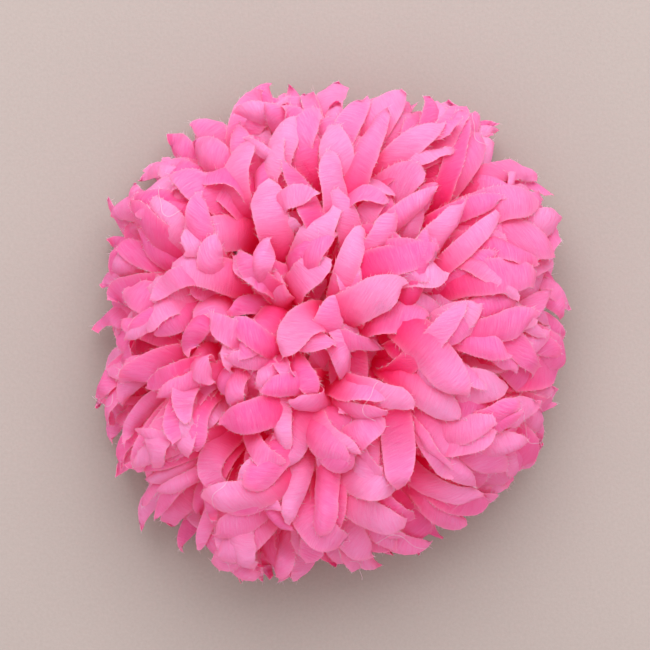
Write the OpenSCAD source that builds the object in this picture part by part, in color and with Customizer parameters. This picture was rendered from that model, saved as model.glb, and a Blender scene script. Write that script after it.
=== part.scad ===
// Chiffon petal corsage: tufts of petals bound at the neck and sewn on a stiff domed
// cap, backed with felt and a metal pad that carries a brooch pin and a beak clip.
// Millimetres, +Z up. The bloom lies on its back, and the origin is on the surface
// it lies on, under its middle. The pin and the clip both run along X.

/* [Bloom] */
// Height of the crown above the surface
bloom_h = 61.5; // [60:0.5:64]
// Radius of the crown tuft's round end
crown_r = 10.5; // [9:0.1:10.5]
// Radius of an upper tuft's round end
upper_r = 9.4; // [8:0.1:9.4]
// Radius of a middle tuft's round end
middle_r = 11.3; // [10:0.1:11.3]
// Radius of an outer tuft's round end
outer_r = 13.4; // [13:0.1:13.4]
// Radius of every tuft's bound neck
neck_r = 2.2; // [1.8:0.1:2.2]

/* [Foundation] */
// Radius of the stiff cap's rim
cap_r = 24; // [23.5:0.5:24]
// Rise of the cap from its rim to its top
cap_h = 10; // [9.5:0.5:10]
// Thickness of the cap's wall
cap_t = 1.2; // [0.8:0.1:2]
// Radius of the felt backing
felt_r = 24.5; // [24:0.1:24.5]
// Thickness of the felt backing
felt_t = 1.5; // [1:0.1:1.6]
// Stitches round the felt's edge
edge_stitches = 36; // [24:1:48]

/* [Metal pad] */
// Radius of the sewn-on metal pad
pad_r = 19; // [18:0.5:20]
// Thickness of the pad
pad_t = 0.8; // [0.6:0.1:1]
// Height of the pad's underside above the surface
pad_z = 11; // [11:0.1:11.2]
// Radius of a sewing hole in the pad
sew_r = 0.8; // [0.6:0.1:1]

/* [Brooch pin] */
// Distance of the pin from the middle, along Y
pin_y = 8; // [7.5:0.5:8.5]
// Width of the pin's bar
bar_w = 5; // [4:0.5:5]
// Radius of the needle's wire
needle_r = 0.45; // [0.4:0.05:0.45]
// Outer radius of the fixed catch
catch_r = 2; // [1.9:0.05:2]
// Length of the fixed catch
catch_len = 4; // [3:0.5:5]

/* [Beak clip] */
// Distance of the clip from the middle, along Y
clip_y = -8; // [-8.5:0.5:-8]
// Width of the clip's upper arm
clip_w = 8; // [7:0.5:8]
// Length of the clip
clip_len = 46; // [44:1:48]
// Radius of the clip's axle
axle_r = 0.8; // [0.6:0.1:1]
// Turns of the clip's spring
spring_turns = 4; // [3:1:4]

/* [Hidden] */
$fn = 48;
sheet_t = 0.7;          // sheet metal of the bar and the clip's arms
ear_t = 0.6;            // thickness of the hinge ears
running = 0.05;         // radial clearance of a part that turns
seated = 0.02;          // radial clearance of a fixed rivet or axle

felt_z = pad_z + pad_t;
cap_z = felt_z + felt_t;
metal_z = pad_z - sheet_t;                               // underside of the bar and upper arm
ball_r = (cap_r * cap_r + cap_h * cap_h) / (2 * cap_h);  // sphere that the cap is cut from
ball_z = cap_z + cap_h - ball_r;

// The tufts: where each ring's necks leave the cap, and where its round ends lie
neck_len = 6;
upper_root = 8;
middle_root = 14.5;
outer_root = 20;
upper_end = [19.5, 46.4];
middle_end_z = 36.2;
outer_end_z = 12.6;
middle_reach = [49, 50, 49.5, 50, 49, 49.5, 50, 49, 50, 49.5];
outer_reach = [65, 71, 76, 70.3, 72, 71, 65, 72, 76, 70.3, 64, 67];
upper_count = 6;
middle_count = len(middle_reach);
outer_count = len(outer_reach);
upper_turn = 20;
middle_turn = 15;
bind_at = 4.4;          // distance along a neck to its thread binding
bind_len = 1.2;
bind_t = 0.5;

// The brooch pin
pin_z = 8.3;            // height of the needle
hinge_x = -14;
hinge_r = 0.6;
hinge_gap = 1.5;        // space between the hinge ears
catch_x = 10;
bore_r = catch_r - 0.55;
slot_w = 1.3;
bar_x = -17;
needle_x = 9;           // where the needle's taper starts
needle_end = 17;
lock_bore = 0.7;
lock_play = 0.2;        // end play of the lock in the catch
lock_flange_r = 1.8;

// The beak clip
axle_x = -3;
axle_z = 7.5;
clip_tilt = 11;
lower_w = clip_w - 2 * ear_t - 0.4;
lower_drop = 2.45;      // from the axle down to the lower arm's plate
jaw_len = clip_len / 2 - axle_x;
lever_len = clip_len / 2 + axle_x;
coil_r = 1.25;
wire_r = 0.3;
coil_w = 4;
leg_x = 8.4;

pin_rivets = [-8, 4];
clip_rivets = [4, 12];
rivet_r = 0.85;
rivet_head_r = 1.5;
rivet_head_t = 0.5;
sew_ring = 16.5;
sew_angles = [0, 55, 90, 125, 180, 235, 270, 305];

function names(stem, count) = [for (i = [1:count]) str(stem, "_", i)];

// ---- Tufts: each has a root on the cap and an end, both as [distance out, height] ----
function on_ball(r) = [r, ball_z + sqrt(ball_r * ball_r - r * r)];
function upper_at(i) = [on_ball(upper_root), upper_end, i * 60 + upper_turn];
function middle_at(i) =
    [on_ball(middle_root), [middle_reach[i] - middle_r, middle_end_z], i * 36 + middle_turn];
function outer_at(i) =
    [on_ball(outer_root), [outer_reach[i] - outer_r, outer_end_z], i * 30];

// Outline of a tuft along its axis: a straight neck, a cone and a round end
function tuft_outline(reach, r) =
    let (run = reach - neck_len, gap = sqrt(run * run + neck_r * neck_r),
         first = atan2(-run, neck_r) + acos(r / gap), steps = 12)
    concat([[0, -3], [neck_r, -3], [neck_r, neck_len]],
           [for (k = [0:steps - 1]) let (a = first + (90 - first) * k / steps)
            [r * cos(a), reach + r * sin(a)]],
           [[0, reach + r]]);

// Puts its children on a tuft's axis, which starts at the root and points to the end
module on_axis(place) {
    root = place[0];
    end = place[1];
    lean = atan2(end[0] - root[0], end[1] - root[1]);
    rotate([0, 0, place[2]]) translate([root[0], 0, root[1]]) rotate([0, lean, 0]) children();
}

module tuft(place, r) {
    reach = norm(place[1] - place[0]);
    color("hotpink") difference() {
        on_axis(place) rotate_extrude() polygon(tuft_outline(reach, r));
        translate([0, 0, ball_z]) sphere(ball_r + running, $fn = 96);
        translate([-100, -100, -50]) cube([200, 200, 50]);
    }
}

module crown_tuft() {
    tuft([[0, ball_z + ball_r], [0, bloom_h - crown_r], 0], crown_r);
}

module binding(place) {
    on_axis(place) translate([0, 0, bind_at]) difference() {
        cylinder(h = bind_len, r = neck_r + bind_t);
        translate([0, 0, -1]) cylinder(h = bind_len + 2, r = neck_r + seated);
    }
}

module tuft_bindings() {
    color("deeppink") {
        binding([[0, ball_z + ball_r], [0, bloom_h], 0]);
        for (i = [0:upper_count - 1]) binding(upper_at(i));
        for (i = [0:middle_count - 1]) binding(middle_at(i));
        for (i = [0:outer_count - 1]) binding(outer_at(i));
    }
}

// ---- Foundation ----
// A dome cut from a sphere above a given height
module dome(r, z) {
    difference() {
        translate([0, 0, ball_z]) sphere(r, $fn = 96);
        translate([0, 0, z - 100]) cylinder(h = 100, r = 2 * r);
    }
}

module foundation_cap() {
    color("pink") difference() {
        dome(ball_r, cap_z);
        translate([0, 0, ball_z]) sphere(ball_r - cap_t, $fn = 96);
    }
}

module wadding_core() {
    color("white") dome(ball_r - cap_t - 0.3, cap_z + 0.2);
}

module felt_backing() {
    color("palevioletred") translate([0, 0, felt_z]) cylinder(h = felt_t, r = felt_r, $fn = 96);
}

// A staple-shaped stitch: under from r_in to r_out, and up at both ends to z_top
module stitch(r_in, r_out, z_low, z_top, thread_r) {
    translate([r_in, 0, z_low]) rotate([0, 90, 0]) cylinder(h = r_out - r_in, r = thread_r, $fn = 8);
    for (r = [r_in, r_out]) translate([r, 0, z_low - thread_r])
        cylinder(h = z_top - z_low + thread_r, r = thread_r, $fn = 8);
}

module edge_stitching() {
    thread = 0.28;
    color("deeppink") for (i = [0:edge_stitches - 1]) rotate([0, 0, (i + 0.5) * 360 / edge_stitches])
        difference() {
            stitch(felt_r - 2.5, felt_r + thread + 0.02, felt_z - thread, cap_z, thread);
            translate([0, -1, felt_z]) cube([felt_r, 2, felt_t + 1]);
        }
}

// ---- Metal pad ----
module pad_disc() {
    color("silver") translate([0, 0, pad_z]) difference() {
        cylinder(h = pad_t, r = pad_r, $fn = 96);
        for (a = sew_angles) rotate([0, 0, a]) translate([sew_ring, 0, -1]) cylinder(h = 3, r = sew_r);
        for (x = pin_rivets) translate([x, pin_y, -1]) cylinder(h = 3, r = rivet_r + seated);
        for (x = clip_rivets) translate([x, clip_y, -1]) cylinder(h = 3, r = rivet_r + seated);
    }
}

module pad_stitches() {
    thread = 0.35;
    color("deeppink") for (a = sew_angles) rotate([0, 0, a])
        stitch(sew_ring, pad_r + thread + 0.1, pad_z - thread, felt_z, thread);
}

module rivet(x, y) {
    translate([x, y, metal_z - rivet_head_t]) {
        cylinder(h = rivet_head_t, r = rivet_head_r);
        cylinder(h = rivet_head_t + sheet_t + pad_t, r = rivet_r);
    }
}

module pad_rivets() {
    color("gainsboro") {
        for (x = pin_rivets) rivet(x, pin_y);
        for (x = clip_rivets) rivet(x, clip_y);
    }
}

// ---- Brooch pin ----
// An ear round a hinge hole, from the hole's height up to z_top, centred on Y
module ear(r, rise, thick) {
    translate([0, thick / 2, 0]) rotate([90, 0, 0]) linear_extrude(thick) {
        circle(r);
        translate([-r, 0]) square([2 * r, rise]);
    }
}

module pin_bar() {
    ear_off = (hinge_gap + ear_t) / 2;
    bar_len = catch_x + catch_len - bar_x;
    color("silver") translate([0, pin_y, 0]) difference() {
        union() {
            translate([bar_x, -bar_w / 2, metal_z]) cube([bar_len, bar_w, sheet_t]);
            for (s = [-1, 1]) translate([hinge_x, s * ear_off, pin_z])
                ear(1.5, metal_z - pin_z + 0.1, ear_t);
            translate([catch_x, 0, pin_z]) rotate([0, 90, 0]) cylinder(h = catch_len, r = catch_r);
            translate([catch_x, -1, pin_z + bore_r]) cube([catch_len, 2, metal_z - pin_z - bore_r + 0.1]);
        }
        translate([hinge_x, 5, pin_z]) rotate([90, 0, 0]) cylinder(h = 10, r = hinge_r + seated);
        translate([catch_x - 1, 0, pin_z]) rotate([0, 90, 0]) cylinder(h = catch_len + 2, r = bore_r);
        translate([catch_x - 1, -slot_w / 2, pin_z - 5]) cube([catch_len + 2, slot_w, 5]);
        for (x = pin_rivets) translate([x, 0, metal_z - 1]) cylinder(h = 3, r = rivet_r + seated);
    }
}

// A rivet along Y with a flat head at each end of its grip
module cross_rivet(r, grip, head_r, head_t) {
    rotate([90, 0, 0]) {
        translate([0, 0, -grip / 2 - head_t]) cylinder(h = grip + 2 * head_t, r = r);
        for (s = [-1, 1]) translate([0, 0, s * (grip + head_t) / 2 - head_t / 2])
            cylinder(h = head_t, r = head_r);
    }
}

module hinge_rivet() {
    color("gainsboro") translate([hinge_x, pin_y, pin_z])
        cross_rivet(hinge_r, hinge_gap + 2 * ear_t + seated, 1, 0.4);
}

module needle() {
    eye_r = 1.3;
    collar_r = 0.7;
    collar_len = 2.6;
    color("silver") translate([hinge_x, pin_y, pin_z]) difference() {
        union() {
            translate([0, 0.65, 0]) rotate([90, 0, 0]) cylinder(h = 1.3, r = eye_r);
            rotate([0, 90, 0]) cylinder(h = collar_len, r = collar_r);
            rotate([0, 90, 0]) cylinder(h = needle_x - hinge_x, r = needle_r);
            translate([needle_x - hinge_x, 0, 0]) rotate([0, 90, 0])
                cylinder(h = needle_end - needle_x, r1 = needle_r, r2 = 0.08);
        }
        translate([0, 2, 0]) rotate([90, 0, 0]) cylinder(h = 4, r = hinge_r + running);
    }
}

module catch_lock() {
    flange_t = 0.6;
    collar_t = 0.9;
    start = catch_x - lock_play - flange_t;
    finish = catch_x + catch_len + lock_play;
    color("gainsboro") translate([0, pin_y, pin_z]) difference() {
        union() {
            translate([start, 0, 0]) rotate([0, 90, 0])
                cylinder(h = finish + collar_t - start, r = bore_r - running);
            for (x = [start, finish]) translate([x, 0, 0]) rotate([0, 90, 0])
                cylinder(h = x == start ? flange_t : collar_t, r = lock_flange_r);
            translate([finish, 0, -0.6]) cube([collar_t, 3.8, 1.2]);
        }
        translate([start - 1, 0, 0]) rotate([0, 90, 0]) cylinder(h = 10, r = lock_bore);
        translate([start - 1, -slot_w / 2, -5]) cube([10, slot_w, 5]);
    }
}

// ---- Beak clip ----
// A strip with round ends from x0 to x1, its top at height 0
module strip(x0, x1, w) {
    translate([0, 0, -sheet_t]) linear_extrude(sheet_t) {
        translate([x0 + w / 2, -w / 2]) square([x1 - x0 - w, w]);
        for (x = [x0 + w / 2, x1 - w / 2]) translate([x, 0]) circle(w / 2);
    }
}

module clip_upper_arm() {
    ear_r = 1.8;
    color("silver") translate([0, clip_y, 0]) difference() {
        union() {
            translate([0, 0, pad_z]) strip(-clip_len / 2, clip_len / 2, clip_w);
            for (s = [-1, 1]) translate([axle_x, s * (clip_w - ear_t) / 2, axle_z])
                ear(ear_r, metal_z - axle_z + 0.1, ear_t);
        }
        translate([axle_x, 10, axle_z]) rotate([90, 0, 0]) cylinder(h = 20, r = axle_r + seated);
        for (x = clip_rivets) translate([x, 0, metal_z - 1]) cylinder(h = 3, r = rivet_r + seated);
    }
}

// The lower arm is one straight strip, tilted so that its beak meets the upper arm
module clip_lower_arm() {
    ear_r = 1.8;
    tooth = 0.5;
    color("silver") translate([axle_x, clip_y, axle_z]) rotate([0, -clip_tilt, 0]) difference() {
        union() {
            translate([0, 0, -lower_drop]) strip(-lever_len, jaw_len, lower_w);
            for (s = [-1, 1]) translate([0, s * (lower_w - ear_t) / 2, 0]) mirror([0, 0, 1])
                ear(ear_r, lower_drop + 0.1, ear_t);
            for (i = [0:5]) translate([jaw_len - 9 + i, -lower_w / 4, -lower_drop - 0.1])
                cube([tooth, lower_w / 2, (5 - i) * 0.1 + 0.3]);
        }
        translate([0, 10, 0]) rotate([90, 0, 0]) cylinder(h = 20, r = axle_r + running);
    }
}

module clip_axle() {
    color("gainsboro") translate([axle_x, clip_y, axle_z])
        cross_rivet(axle_r, clip_w + seated, 1.2, 0.4);
}

// The spring's wire: a leg on the upper lever, the coil, and a leg on the lower lever
module clip_spring() {
    per_turn = 18;
    steps = per_turn * spring_turns + per_turn / 2;
    coil = [for (k = [0:steps]) let (a = 90 - k * 360 / per_turn)
            [coil_r * cos(a), coil_w * (k / steps - 0.5), coil_r * sin(a)]];
    path = concat([[-leg_x, -coil_w / 2, metal_z - axle_z - wire_r - 0.06]], coil,
                  [[-leg_x, coil_w / 2, -leg_x * tan(clip_tilt) - lower_drop / cos(clip_tilt)
                    + wire_r + 0.08]]);
    last = len(path) - 1;
    sides = 8;
    rings = [for (i = [0:last]) let (ahead = path[min(i + 1, last)] - path[max(i - 1, 0)],
             t = ahead / norm(ahead), side = cross([0, 1, 0], t), n = side / norm(side), b = cross(t, n))
             for (s = [0:sides - 1]) path[i] + wire_r * (n * cos(s * 360 / sides) + b * sin(s * 360 / sides))];
    walls = [for (i = [0:last - 1], s = [0:sides - 1]) let (a = i * sides, u = (s + 1) % sides)
             [a + s, a + sides + s, a + sides + u, a + u]];
    color("gainsboro") translate([axle_x, clip_y, axle_z]) polyhedron(rings, concat(walls,
        [[for (s = [0:sides - 1]) s]], [[for (s = [0:sides - 1]) last * sides + sides - 1 - s]]));
}

crown_tuft();
for (i = [0:upper_count - 1])
    tuft(upper_at(i), upper_r);
for (i = [0:middle_count - 1])
    tuft(middle_at(i), middle_r);
for (i = [0:outer_count - 1])
    tuft(outer_at(i), outer_r);
tuft_bindings();
foundation_cap();
wadding_core();
felt_backing();
edge_stitching();
pad_disc();
pad_stitches();
pad_rivets();
pin_bar();
hinge_rivet();
needle();
catch_lock();
clip_upper_arm();
clip_lower_arm();
clip_axle();
clip_spring();
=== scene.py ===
"""Looks of a chiffon petal corsage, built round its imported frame.

The bloom is petals of raw-edged crinkle chiffon, gathered in tufts on a stiff cap.
Petals are shaped in millimetres and laid one over another from the lowest to the
highest, and meshes are written in metres. +Z is up, and the bloom lies on its back.
"""

import logging
import math
from dataclasses import dataclass, field
from enum import Enum
from typing import Any, Iterable, Optional, Sequence

import bpy
import numpy as np
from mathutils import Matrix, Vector


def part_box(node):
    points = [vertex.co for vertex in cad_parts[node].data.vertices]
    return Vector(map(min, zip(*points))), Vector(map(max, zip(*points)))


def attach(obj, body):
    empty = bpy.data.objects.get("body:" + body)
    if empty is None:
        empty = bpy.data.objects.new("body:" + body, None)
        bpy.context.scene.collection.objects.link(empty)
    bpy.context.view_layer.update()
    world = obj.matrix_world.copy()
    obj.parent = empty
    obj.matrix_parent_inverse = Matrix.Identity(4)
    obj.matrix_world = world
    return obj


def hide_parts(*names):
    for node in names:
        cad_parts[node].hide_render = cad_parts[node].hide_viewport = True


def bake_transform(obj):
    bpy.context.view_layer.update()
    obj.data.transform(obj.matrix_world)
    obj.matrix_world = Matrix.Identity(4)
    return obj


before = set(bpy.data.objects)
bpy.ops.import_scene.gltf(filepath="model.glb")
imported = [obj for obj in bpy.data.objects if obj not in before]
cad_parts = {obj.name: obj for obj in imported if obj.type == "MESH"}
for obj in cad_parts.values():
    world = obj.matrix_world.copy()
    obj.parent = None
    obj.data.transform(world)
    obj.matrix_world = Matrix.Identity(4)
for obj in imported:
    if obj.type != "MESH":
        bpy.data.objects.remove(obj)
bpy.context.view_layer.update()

LOG = logging.getLogger("corsage")
MM = 0.001
TINY = 1e-9
SEED = 20461
Array = np.ndarray
Colour = tuple[float, float, float]


# ---------------------------------------------------------------- shader building


class Sock:
    """A node socket that adds Math nodes when it is used in arithmetic."""

    def __init__(self, kit: "NodeKit", socket: Any) -> None:
        """Keeps the node kit and the socket that this stands for."""
        self.kit = kit
        self.socket = socket

    def _with(self, operation: str, other: Any, swap: bool = False) -> "Sock":
        """Adds a Math node of self and other.

        Args:
            operation: The Math node's operation.
            other: A number or another Sock.
            swap: Whether other comes first.

        Returns:
            The node's result.
        """
        pair = (other, self) if swap else (self, other)
        return self.kit.add("ShaderNodeMath", {"operation": operation}, {0: pair[0], 1: pair[1]})

    def __add__(self, other: Any) -> "Sock":
        """self + other."""
        return self._with("ADD", other)

    def __radd__(self, other: Any) -> "Sock":
        """other + self."""
        return self._with("ADD", other)

    def __sub__(self, other: Any) -> "Sock":
        """self - other."""
        return self._with("SUBTRACT", other)

    def __rsub__(self, other: Any) -> "Sock":
        """other - self."""
        return self._with("SUBTRACT", other, swap=True)

    def __mul__(self, other: Any) -> "Sock":
        """self * other."""
        return self._with("MULTIPLY", other)

    def __rmul__(self, other: Any) -> "Sock":
        """other * self."""
        return self._with("MULTIPLY", other)

    def __pow__(self, other: Any) -> "Sock":
        """self to the power other."""
        return self._with("POWER", other)


class NodeKit:
    """Builds one material's nodes."""

    def __init__(self, name: str) -> None:
        """Starts an empty material.

        Args:
            name: The material's name.
        """
        self.material = bpy.data.materials.new(name)
        self.material.use_nodes = True
        self.tree = self.material.node_tree
        self.tree.nodes.clear()

    def add(self, kind: str, settings: Optional[dict] = None, inputs: Optional[dict] = None,
            output: Any = 0) -> Sock:
        """Adds a node.

        Args:
            kind: The node's type.
            settings: Attributes, which are set on the node first.
            inputs: Socket name or number to a value or a Sock.
            output: Name or number of the output to return.

        Returns:
            The chosen output, which is empty for a node that has none.
        """
        node = self.tree.nodes.new(kind)
        for key, value in (settings or {}).items():
            setattr(node, key, value)
        for key, value in (inputs or {}).items():
            socket = node.inputs[key]
            if isinstance(value, Sock):
                self.tree.links.new(value.socket, socket)
            else:
                socket.default_value = value
        return Sock(self, node.outputs[output] if len(node.outputs) else None)

    @staticmethod
    def _rgba(value: Any) -> Any:
        """A colour with an alpha of 1, or the Sock that it already is."""
        return value if isinstance(value, Sock) else (*value, 1.0)

    def mix(self, factor: Any, first: Any, second: Any) -> Sock:
        """Mixes two colours.

        Args:
            factor: Share of the second colour.
            first: First colour, as three numbers or a Sock.
            second: Second colour, as three numbers or a Sock.

        Returns:
            The mixed colour.
        """
        return self.add("ShaderNodeMix", {"data_type": "RGBA"},
                        {0: factor, 6: self._rgba(first), 7: self._rgba(second)}, output=2)

    def attribute(self, name: str) -> Sock:
        """A number kept on the mesh under that name."""
        return self.add("ShaderNodeAttribute", {"attribute_name": name}, output="Fac")

    def object_coords(self) -> Sock:
        """Object coordinates, in metres."""
        return self.add("ShaderNodeTexCoord", output="Object")

    def cloth_coords(self) -> Sock:
        """The piece's own UV map, in millimetres along and across the grain."""
        return self.add("ShaderNodeUVMap", {"uv_map": "cloth"})

    def scaled(self, coords: Sock, scale: Sequence[float]) -> Sock:
        """Coordinates times a scale for each axis."""
        return self.add("ShaderNodeMapping", {}, {"Vector": coords, "Scale": tuple(scale)})

    def noise(self, coords: Sock, scale: float, detail: float = 2.0, rough: float = 0.5,
              distortion: float = 0.0) -> Sock:
        """A noise texture's value.

        Args:
            coords: The coordinates that it is read at.
            scale: Its size, in waves for each unit of the coordinates.
            detail: How many finer octaves are added.
            rough: How strong the finer octaves are.
            distortion: How far the pattern is bent out of place.

        Returns:
            The value, from 0 to 1.
        """
        return self.add("ShaderNodeTexNoise", {}, {
            "Vector": coords, "Scale": scale, "Detail": detail, "Roughness": rough,
            "Distortion": distortion})

    def bump(self, height: Sock, distance: float, strength: float = 1.0) -> Sock:
        """A bumped normal from a height."""
        return self.add("ShaderNodeBump", {}, {
            "Height": height, "Distance": distance, "Strength": strength})

    def clamp(self, value: Sock) -> Sock:
        """A value kept between 0 and 1."""
        return self.add("ShaderNodeClamp", {}, {0: value})

    def step(self, value: Sock, low: float, high: float) -> Sock:
        """0 where a value is below low, 1 where it is above high, and an S-curve between."""
        return self.add("ShaderNodeMapRange", {"interpolation_type": "SMOOTHSTEP"},
                        {0: value, 1: low, 2: high})

    def surface(self, **inputs: Any) -> Sock:
        """The main surface shader. An underscore stands for a space in an input's name."""
        named = {key.replace("_", " "): value for key, value in inputs.items()}
        return self.add("ShaderNodeBsdfPrincipled", {}, named, "BSDF")

    def see_through(self, skin: Sock, share: float, **inputs: Any) -> Sock:
        """A surface that lets a share of the light through to its other side.

        Args:
            skin: The shader of its own surface.
            share: The share that comes through.
            **inputs: The colour, and the normal if there is one, of what comes through.

        Returns:
            The mixed shader.
        """
        back = self.add("ShaderNodeBsdfTranslucent", {}, inputs, "BSDF")
        return self.add("ShaderNodeMixShader", {}, {0: share, 1: skin, 2: back})

    def finish(self, shader: Sock) -> bpy.types.Material:
        """Connects the shader to the output.

        Args:
            shader: The surface shader.

        Returns:
            The finished material.
        """
        self.add("ShaderNodeOutputMaterial", {}, {"Surface": shader})
        return self.material


# ---------------------------------------------------------------- finishes


@dataclass(frozen=True)
class ChiffonFinish:
    """Raw-edged crinkle chiffon, dyed pink and half see-through to light.

    neck_shade is the colour at a petal's neck, darker and redder as painted shade where the
    petal runs in under the others. middle and light are mixed over its outer part by each
    petal's random tone and by painted shade and highlight that follow the crinkle.
    edge is the frayed rim, glow the light that comes through, and painted_glow a faint red
    glow that is painted on, from no lamp, for light that has been through many layers.
    relief is in metres.
    """

    name: str = "pink_chiffon"
    light: Colour = (0.87, 0.55, 1.0)
    middle: Colour = (0.87, 0.125, 0.525)
    neck_shade: Colour = (0.87, 0.006, 0.18)
    edge: Colour = (1.0, 0.55, 0.82)
    glow: Colour = (1.0, 0.13, 0.42)
    painted_glow: Colour = (1.0, 0.01, 0.08)
    painted_glow_strength: float = 0.125
    through: float = 0.55
    crinkle_mm: float = 0.36
    crinkle_run: float = 0.27
    crepe: tuple[float, float] = (4.2, 5.6)
    crinkle_share: float = 0.55
    crinkle_shade: float = 1.75
    tone_share: float = 0.58
    paleness: float = 0.25
    opening: tuple[float, float] = (0.44, 0.92)
    rim_share: float = 0.4
    rim_falloff: float = 3.0
    relief: float = 0.00048

    def material(self) -> bpy.types.Material:
        """Builds the cloth's material.

        Returns:
            A material that reads the cloth UV map and the edge, tone and tip attributes.
        """
        kit = NodeKit(self.name)
        cloth = kit.cloth_coords()
        grain = kit.scaled(cloth, (self.crinkle_run, 1.0 / self.crinkle_mm, 1.0))
        crinkle = kit.noise(grain, 1.0, detail=2.0, rough=0.6, distortion=0.7)
        fine = kit.noise(kit.scaled(cloth, (*self.crepe, 1.0)), 1.0, detail=3.0, rough=0.7)
        height = crinkle * self.crinkle_share + fine * (1.0 - self.crinkle_share)
        # Painted shade and highlight: the crinkle's height lightens ridges and darkens creases, on top of
        # each petal's random tone.
        tone_and_crease_shade = kit.attribute("tone") * self.tone_share + (height - 0.5) * self.crinkle_shade + self.paleness
        outer = kit.mix(kit.clamp(tone_and_crease_shade), self.middle, self.light)
        # Painted shade: each petal darkens to a deeper red towards its neck, where it runs in under the
        # petals above.
        body = kit.mix(kit.step(kit.attribute("tip"), *self.opening), self.neck_shade, outer)
        rim = (1.0 - kit.attribute("edge")) ** self.rim_falloff
        normal = kit.bump(height, self.relief)
        # Painted glow: a faint red emission, from no lamp, lifts the shade between petals as light soaked
        # through many layers would.
        skin = kit.surface(Base_Color=kit.mix(rim * self.rim_share, body, self.edge), Roughness=0.82,
                           Normal=normal, Sheen_Weight=0.06, Sheen_Roughness=0.5, Specular_IOR_Level=0.15,
                           Emission_Color=(*self.painted_glow, 1.0), Emission_Strength=self.painted_glow_strength)
        return kit.finish(kit.see_through(skin, self.through, Color=(*self.glow, 1.0), Normal=normal))


@dataclass(frozen=True)
class FrayFinish:
    """Single pale threads that stand off the cut edges."""

    name: str = "chiffon_fray"
    colour: Colour = (1.0, 0.74, 0.90)
    darkest: float = 0.8
    through: float = 0.4

    def material(self) -> bpy.types.Material:
        """Builds the threads' material.

        Returns:
            A material whose threads differ a little from place to place.
        """
        kit = NodeKit(self.name)
        spot = kit.noise(kit.object_coords(), 700.0, detail=1.0)
        colour = kit.mix(spot, self.colour, tuple(self.darkest * c for c in self.colour))
        skin = kit.surface(Base_Color=colour, Roughness=0.7, Specular_IOR_Level=0.2)
        return kit.finish(kit.see_through(skin, self.through, Color=(*self.colour, 1.0)))


@dataclass(frozen=True)
class ThreadFinish:
    """Two-ply sewing thread, dyed to match the petals."""

    name: str = "twisted_thread"
    light: Colour = (0.92, 0.20, 0.45)
    dark: Colour = (0.55, 0.03, 0.16)
    plies: float = 0.55
    relief: float = 0.00012

    def material(self) -> bpy.types.Material:
        """Builds the thread's material.

        Returns:
            A material that winds the plies along the piece's own UV map.
        """
        kit = NodeKit(self.name)
        plies = kit.add("ShaderNodeTexWave", {"bands_direction": "DIAGONAL"}, {
            "Vector": kit.cloth_coords(), "Scale": self.plies, "Distortion": 0.6, "Detail": 1.0}, "Fac")
        fuzz = kit.noise(kit.object_coords(), 4200.0, detail=2.0)
        colour = kit.mix(plies * 0.75 + fuzz * 0.25, self.dark, self.light)
        return kit.finish(kit.surface(Base_Color=colour, Roughness=0.55, Sheen_Weight=0.2,
                                      Normal=kit.bump(plies * 0.8 + fuzz * 0.2, self.relief)))


@dataclass(frozen=True)
class FeltFinish:
    """Pressed wool felt: matted fibres with lighter fluff."""

    name: str = "rose_felt"
    light: Colour = (0.72, 0.12, 0.30)
    dark: Colour = (0.42, 0.035, 0.13)
    relief: float = 0.0006

    def material(self) -> bpy.types.Material:
        """Builds the felt's material.

        Returns:
            A material of matted fibres over wider clumps.
        """
        kit = NodeKit(self.name)
        coords = kit.object_coords()
        fibres = kit.noise(coords, 900.0, detail=6.0, rough=0.7, distortion=2.5)
        clumps = kit.noise(coords, 160.0, detail=3.0)
        colour = kit.mix(fibres * 0.8 + clumps * 0.5 - 0.15, self.dark, self.light)
        return kit.finish(kit.surface(
            Base_Color=colour, Roughness=0.95, Sheen_Weight=0.5, Sheen_Roughness=0.4,
            Specular_IOR_Level=0.1, Normal=kit.bump(fibres * 0.6 + clumps * 0.4, self.relief)))


@dataclass(frozen=True)
class BuckramFinish:
    """Open stiffened weave with glue in its holes."""

    name: str = "dyed_buckram"
    yarn: Colour = (0.90, 0.30, 0.52)
    hole: Colour = (0.48, 0.05, 0.18)
    pitch_mm: float = 0.9
    relief: float = 0.00035

    def material(self) -> bpy.types.Material:
        """Builds the buckram's material.

        Returns:
            A material of crossed yarns, shinier where glue fills the holes.
        """
        kit = NodeKit(self.name)
        coords = kit.object_coords()
        scale = 0.05 / (self.pitch_mm * MM)
        warp, weft = (kit.add("ShaderNodeTexWave", {"bands_direction": axis}, {
            "Vector": coords, "Scale": scale, "Distortion": 0.4}, "Fac") for axis in "XY")
        glue = kit.noise(coords, 260.0, detail=3.0)
        weave = 1.0 - (1.0 - warp) * (1.0 - weft)
        colour = kit.mix(weave * 0.8 + glue * 0.3, self.hole, self.yarn)
        rough = 0.85 - glue * 0.35
        return kit.finish(kit.surface(Base_Color=colour, Roughness=rough,
                                      Normal=kit.bump(weave, self.relief)))


@dataclass(frozen=True)
class WaddingFinish:
    """Loose white polyester fibre."""

    name: str = "white_wadding"
    dark: Colour = (0.72, 0.70, 0.68)
    light: Colour = (0.93, 0.92, 0.91)
    relief: float = 0.0012

    def material(self) -> bpy.types.Material:
        """Builds the wadding's material.

        Returns:
            A material of long bent fibres.
        """
        kit = NodeKit(self.name)
        fibres = kit.noise(kit.object_coords(), 500.0, detail=6.0, rough=0.75, distortion=4.0)
        return kit.finish(kit.surface(Base_Color=kit.mix(fibres, self.dark, self.light), Roughness=0.95,
                                      Sheen_Weight=0.4, Normal=kit.bump(fibres, self.relief)))


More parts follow.
